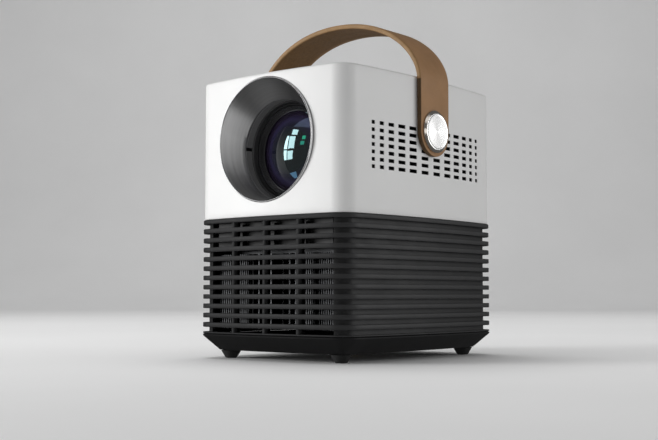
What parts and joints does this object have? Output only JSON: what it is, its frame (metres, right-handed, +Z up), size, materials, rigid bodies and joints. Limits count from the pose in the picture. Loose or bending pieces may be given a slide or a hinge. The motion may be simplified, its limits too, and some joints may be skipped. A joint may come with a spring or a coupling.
{
  "type": "home projector",
  "caption": "Compact cube-shaped home projector with a white upper shell, dark louvred base, deep lens funnel and an arched leather carrying strap.",
  "frame": {"origin": "middle of the footprint, on the surface that the rubber feet stand on", "axes": "+Z up, the lens looks along -Y, +X is the side on the right as seen from the front"},
  "size_m": [0.1404, 0.167, 0.2156],
  "materials": {
    "barrel_black": "black moulded plastic",
    "board_green": "green glass-fibre board",
    "dark_base": "satin dark grey moulded ABS",
    "dark_inner": "dark grey moulded ABS",
    "dark_tray": "satin dark grey moulded ABS",
    "engine_black": "matt black moulded plastic",
    "fan_black": "black moulded plastic",
    "focus_black": "black moulded plastic",
    "foot_rubber": "matt black rubber",
    "frame_black": "matt black moulded plastic",
    "fresnel_clear": "clear acrylic with fine rings",
    "front_glass": "coated optical glass, violet and green sheen",
    "funnel_satin": "satin metallic dark grey",
    "insert_brass": "turned brass",
    "ir_smoked": "smoked red plastic",
    "jack_black": "black moulded socket",
    "key_grey": "grey moulded key",
    "lcd_glass": "dark liquid-crystal panel glass",
    "led_metal": "metal-core board with a yellow emitter",
    "mirror_glass": "front-silvered mirror",
    "mount_black": "black moulded plastic",
    "port_metal": "plated steel sheet",
    "port_plastic": "satin dark grey plastic",
    "rear_glass": "clear optical glass",
    "reflector_metal": "polished reflector",
    "retainer_black": "black threaded ring",
    "ring_metal": "turned and anodised bright silver",
    "rivet_metal": "satin silver with polished bevel",
    "rotor_black": "black moulded plastic",
    "screw_steel": "zinc-plated steel",
    "sink_aluminium": "extruded aluminium",
    "speaker_black": "black speaker cone and basket",
    "strap_leather": "tan leather",
    "white_cover": "fine matt moulded ABS, white",
    "white_shell": "fine matt moulded ABS, white"
  },
  "bodies": {
    "housing": {"av_jack": "jack_black", "bottom_tray": "dark_tray", "dc_jack": "jack_black", "fan_frame": "fan_black", "fold_mirror": "mirror_glass", "foot_front_left": "foot_rubber", "foot_front_right": "foot_rubber", "foot_rear_left": "foot_rubber", "foot_rear_right": "foot_rubber", "front_baffle": "dark_inner", "hdmi_port": "port_metal", "heat_sink": "sink_aluminium", "ir_window": "ir_smoked", "key_board": "board_green", "lcd_panel": "lcd_glass", "led_board": "led_metal", "lens_funnel": "funnel_satin", "lens_mount": "mount_black", "light_box": "engine_black", "louvred_base": "dark_base", "lower_fresnel": "fresnel_clear", "main_board": "board_green", "panel_frame": "frame_black", "port_panel": "port_plastic", "reflector_cup": "reflector_metal", "rim_ring": "ring_metal", "rivet_cap_left": "rivet_metal", "rivet_cap_right": "rivet_metal", "speaker_left": "speaker_black", "speaker_right": "speaker_black", "stud_nut_left": "screw_steel", "stud_nut_right": "screw_steel", "top_cover": "white_cover", "tray_screw_1": "screw_steel", "tray_screw_2": "screw_steel", "tray_screw_3": "screw_steel", "tray_screw_4": "screw_steel", "tripod_insert": "insert_brass", "upper_fresnel": "fresnel_clear", "upper_shell": "white_shell", "usb_port": "port_metal"},
    "handle": {"strap": "strap_leather"},
    "focus": {"focus_ring": "focus_black"},
    "lens": {"lens_barrel": "barrel_black", "lens_retainer": "retainer_black", "front_lens": "front_glass", "rear_lens": "rear_glass"},
    "fan": {"fan_rotor": "rotor_black"},
    "key_down": {"key_down": "key_grey"},
    "key_left": {"key_left": "key_grey"},
    "key_ok": {"key_ok": "key_grey"},
    "key_power": {"key_power": "key_grey"},
    "key_right": {"key_right": "key_grey"},
    "key_source": {"key_source": "key_grey"},
    "key_up": {"key_up": "key_grey"}
  },
  "joints": [
    {"name": "handle_swing", "type": "hinge", "parent": "housing", "child": "handle", "pos_m": [0, 0, 0.141], "axis": [1, 0, 0], "range_deg": [-10, 10]},
    {"name": "focus_turn", "type": "hinge", "parent": "housing", "child": "focus", "pos_m": [0, -0.066, 0.1292], "axis": [0, 1, 0], "range_deg": [-90, 90]},
    {"name": "lens_travel", "type": "slide", "parent": "housing", "child": "lens", "axis": [0, 1, 0], "range_m": [-0.0026, 0.0026]},
    {"name": "fan_spin", "type": "hinge", "parent": "housing", "child": "fan", "pos_m": [0, 0.06, 0.047], "axis": [0, 1, 0], "continuous": true},
    {"name": "press_down", "type": "slide", "parent": "housing", "child": "key_down", "axis": [0, 0, -1], "range_m": [0, 0.0007], "stiffness_N_per_m": 700, "springref_m": -0.0003},
    {"name": "press_left", "type": "slide", "parent": "housing", "child": "key_left", "axis": [0, 0, -1], "range_m": [0, 0.0007], "stiffness_N_per_m": 700, "springref_m": -0.0003},
    {"name": "press_ok", "type": "slide", "parent": "housing", "child": "key_ok", "axis": [0, 0, -1], "range_m": [0, 0.0007], "stiffness_N_per_m": 700, "springref_m": -0.0003},
    {"name": "press_power", "type": "slide", "parent": "housing", "child": "key_power", "axis": [0, 0, -1], "range_m": [0, 0.0007], "stiffness_N_per_m": 700, "springref_m": -0.0003},
    {"name": "press_right", "type": "slide", "parent": "housing", "child": "key_right", "axis": [0, 0, -1], "range_m": [0, 0.0007], "stiffness_N_per_m": 700, "springref_m": -0.0003},
    {"name": "press_source", "type": "slide", "parent": "housing", "child": "key_source", "axis": [0, 0, -1], "range_m": [0, 0.0007], "stiffness_N_per_m": 700, "springref_m": -0.0003},
    {"name": "press_up", "type": "slide", "parent": "housing", "child": "key_up", "axis": [0, 0, -1], "range_m": [0, 0.0007], "stiffness_N_per_m": 700, "springref_m": -0.0003}
  ],
  "couplings": [
    {"joint": "lens_travel", "follows": "focus_turn", "m_per_rad": 0.00165}
  ]
}
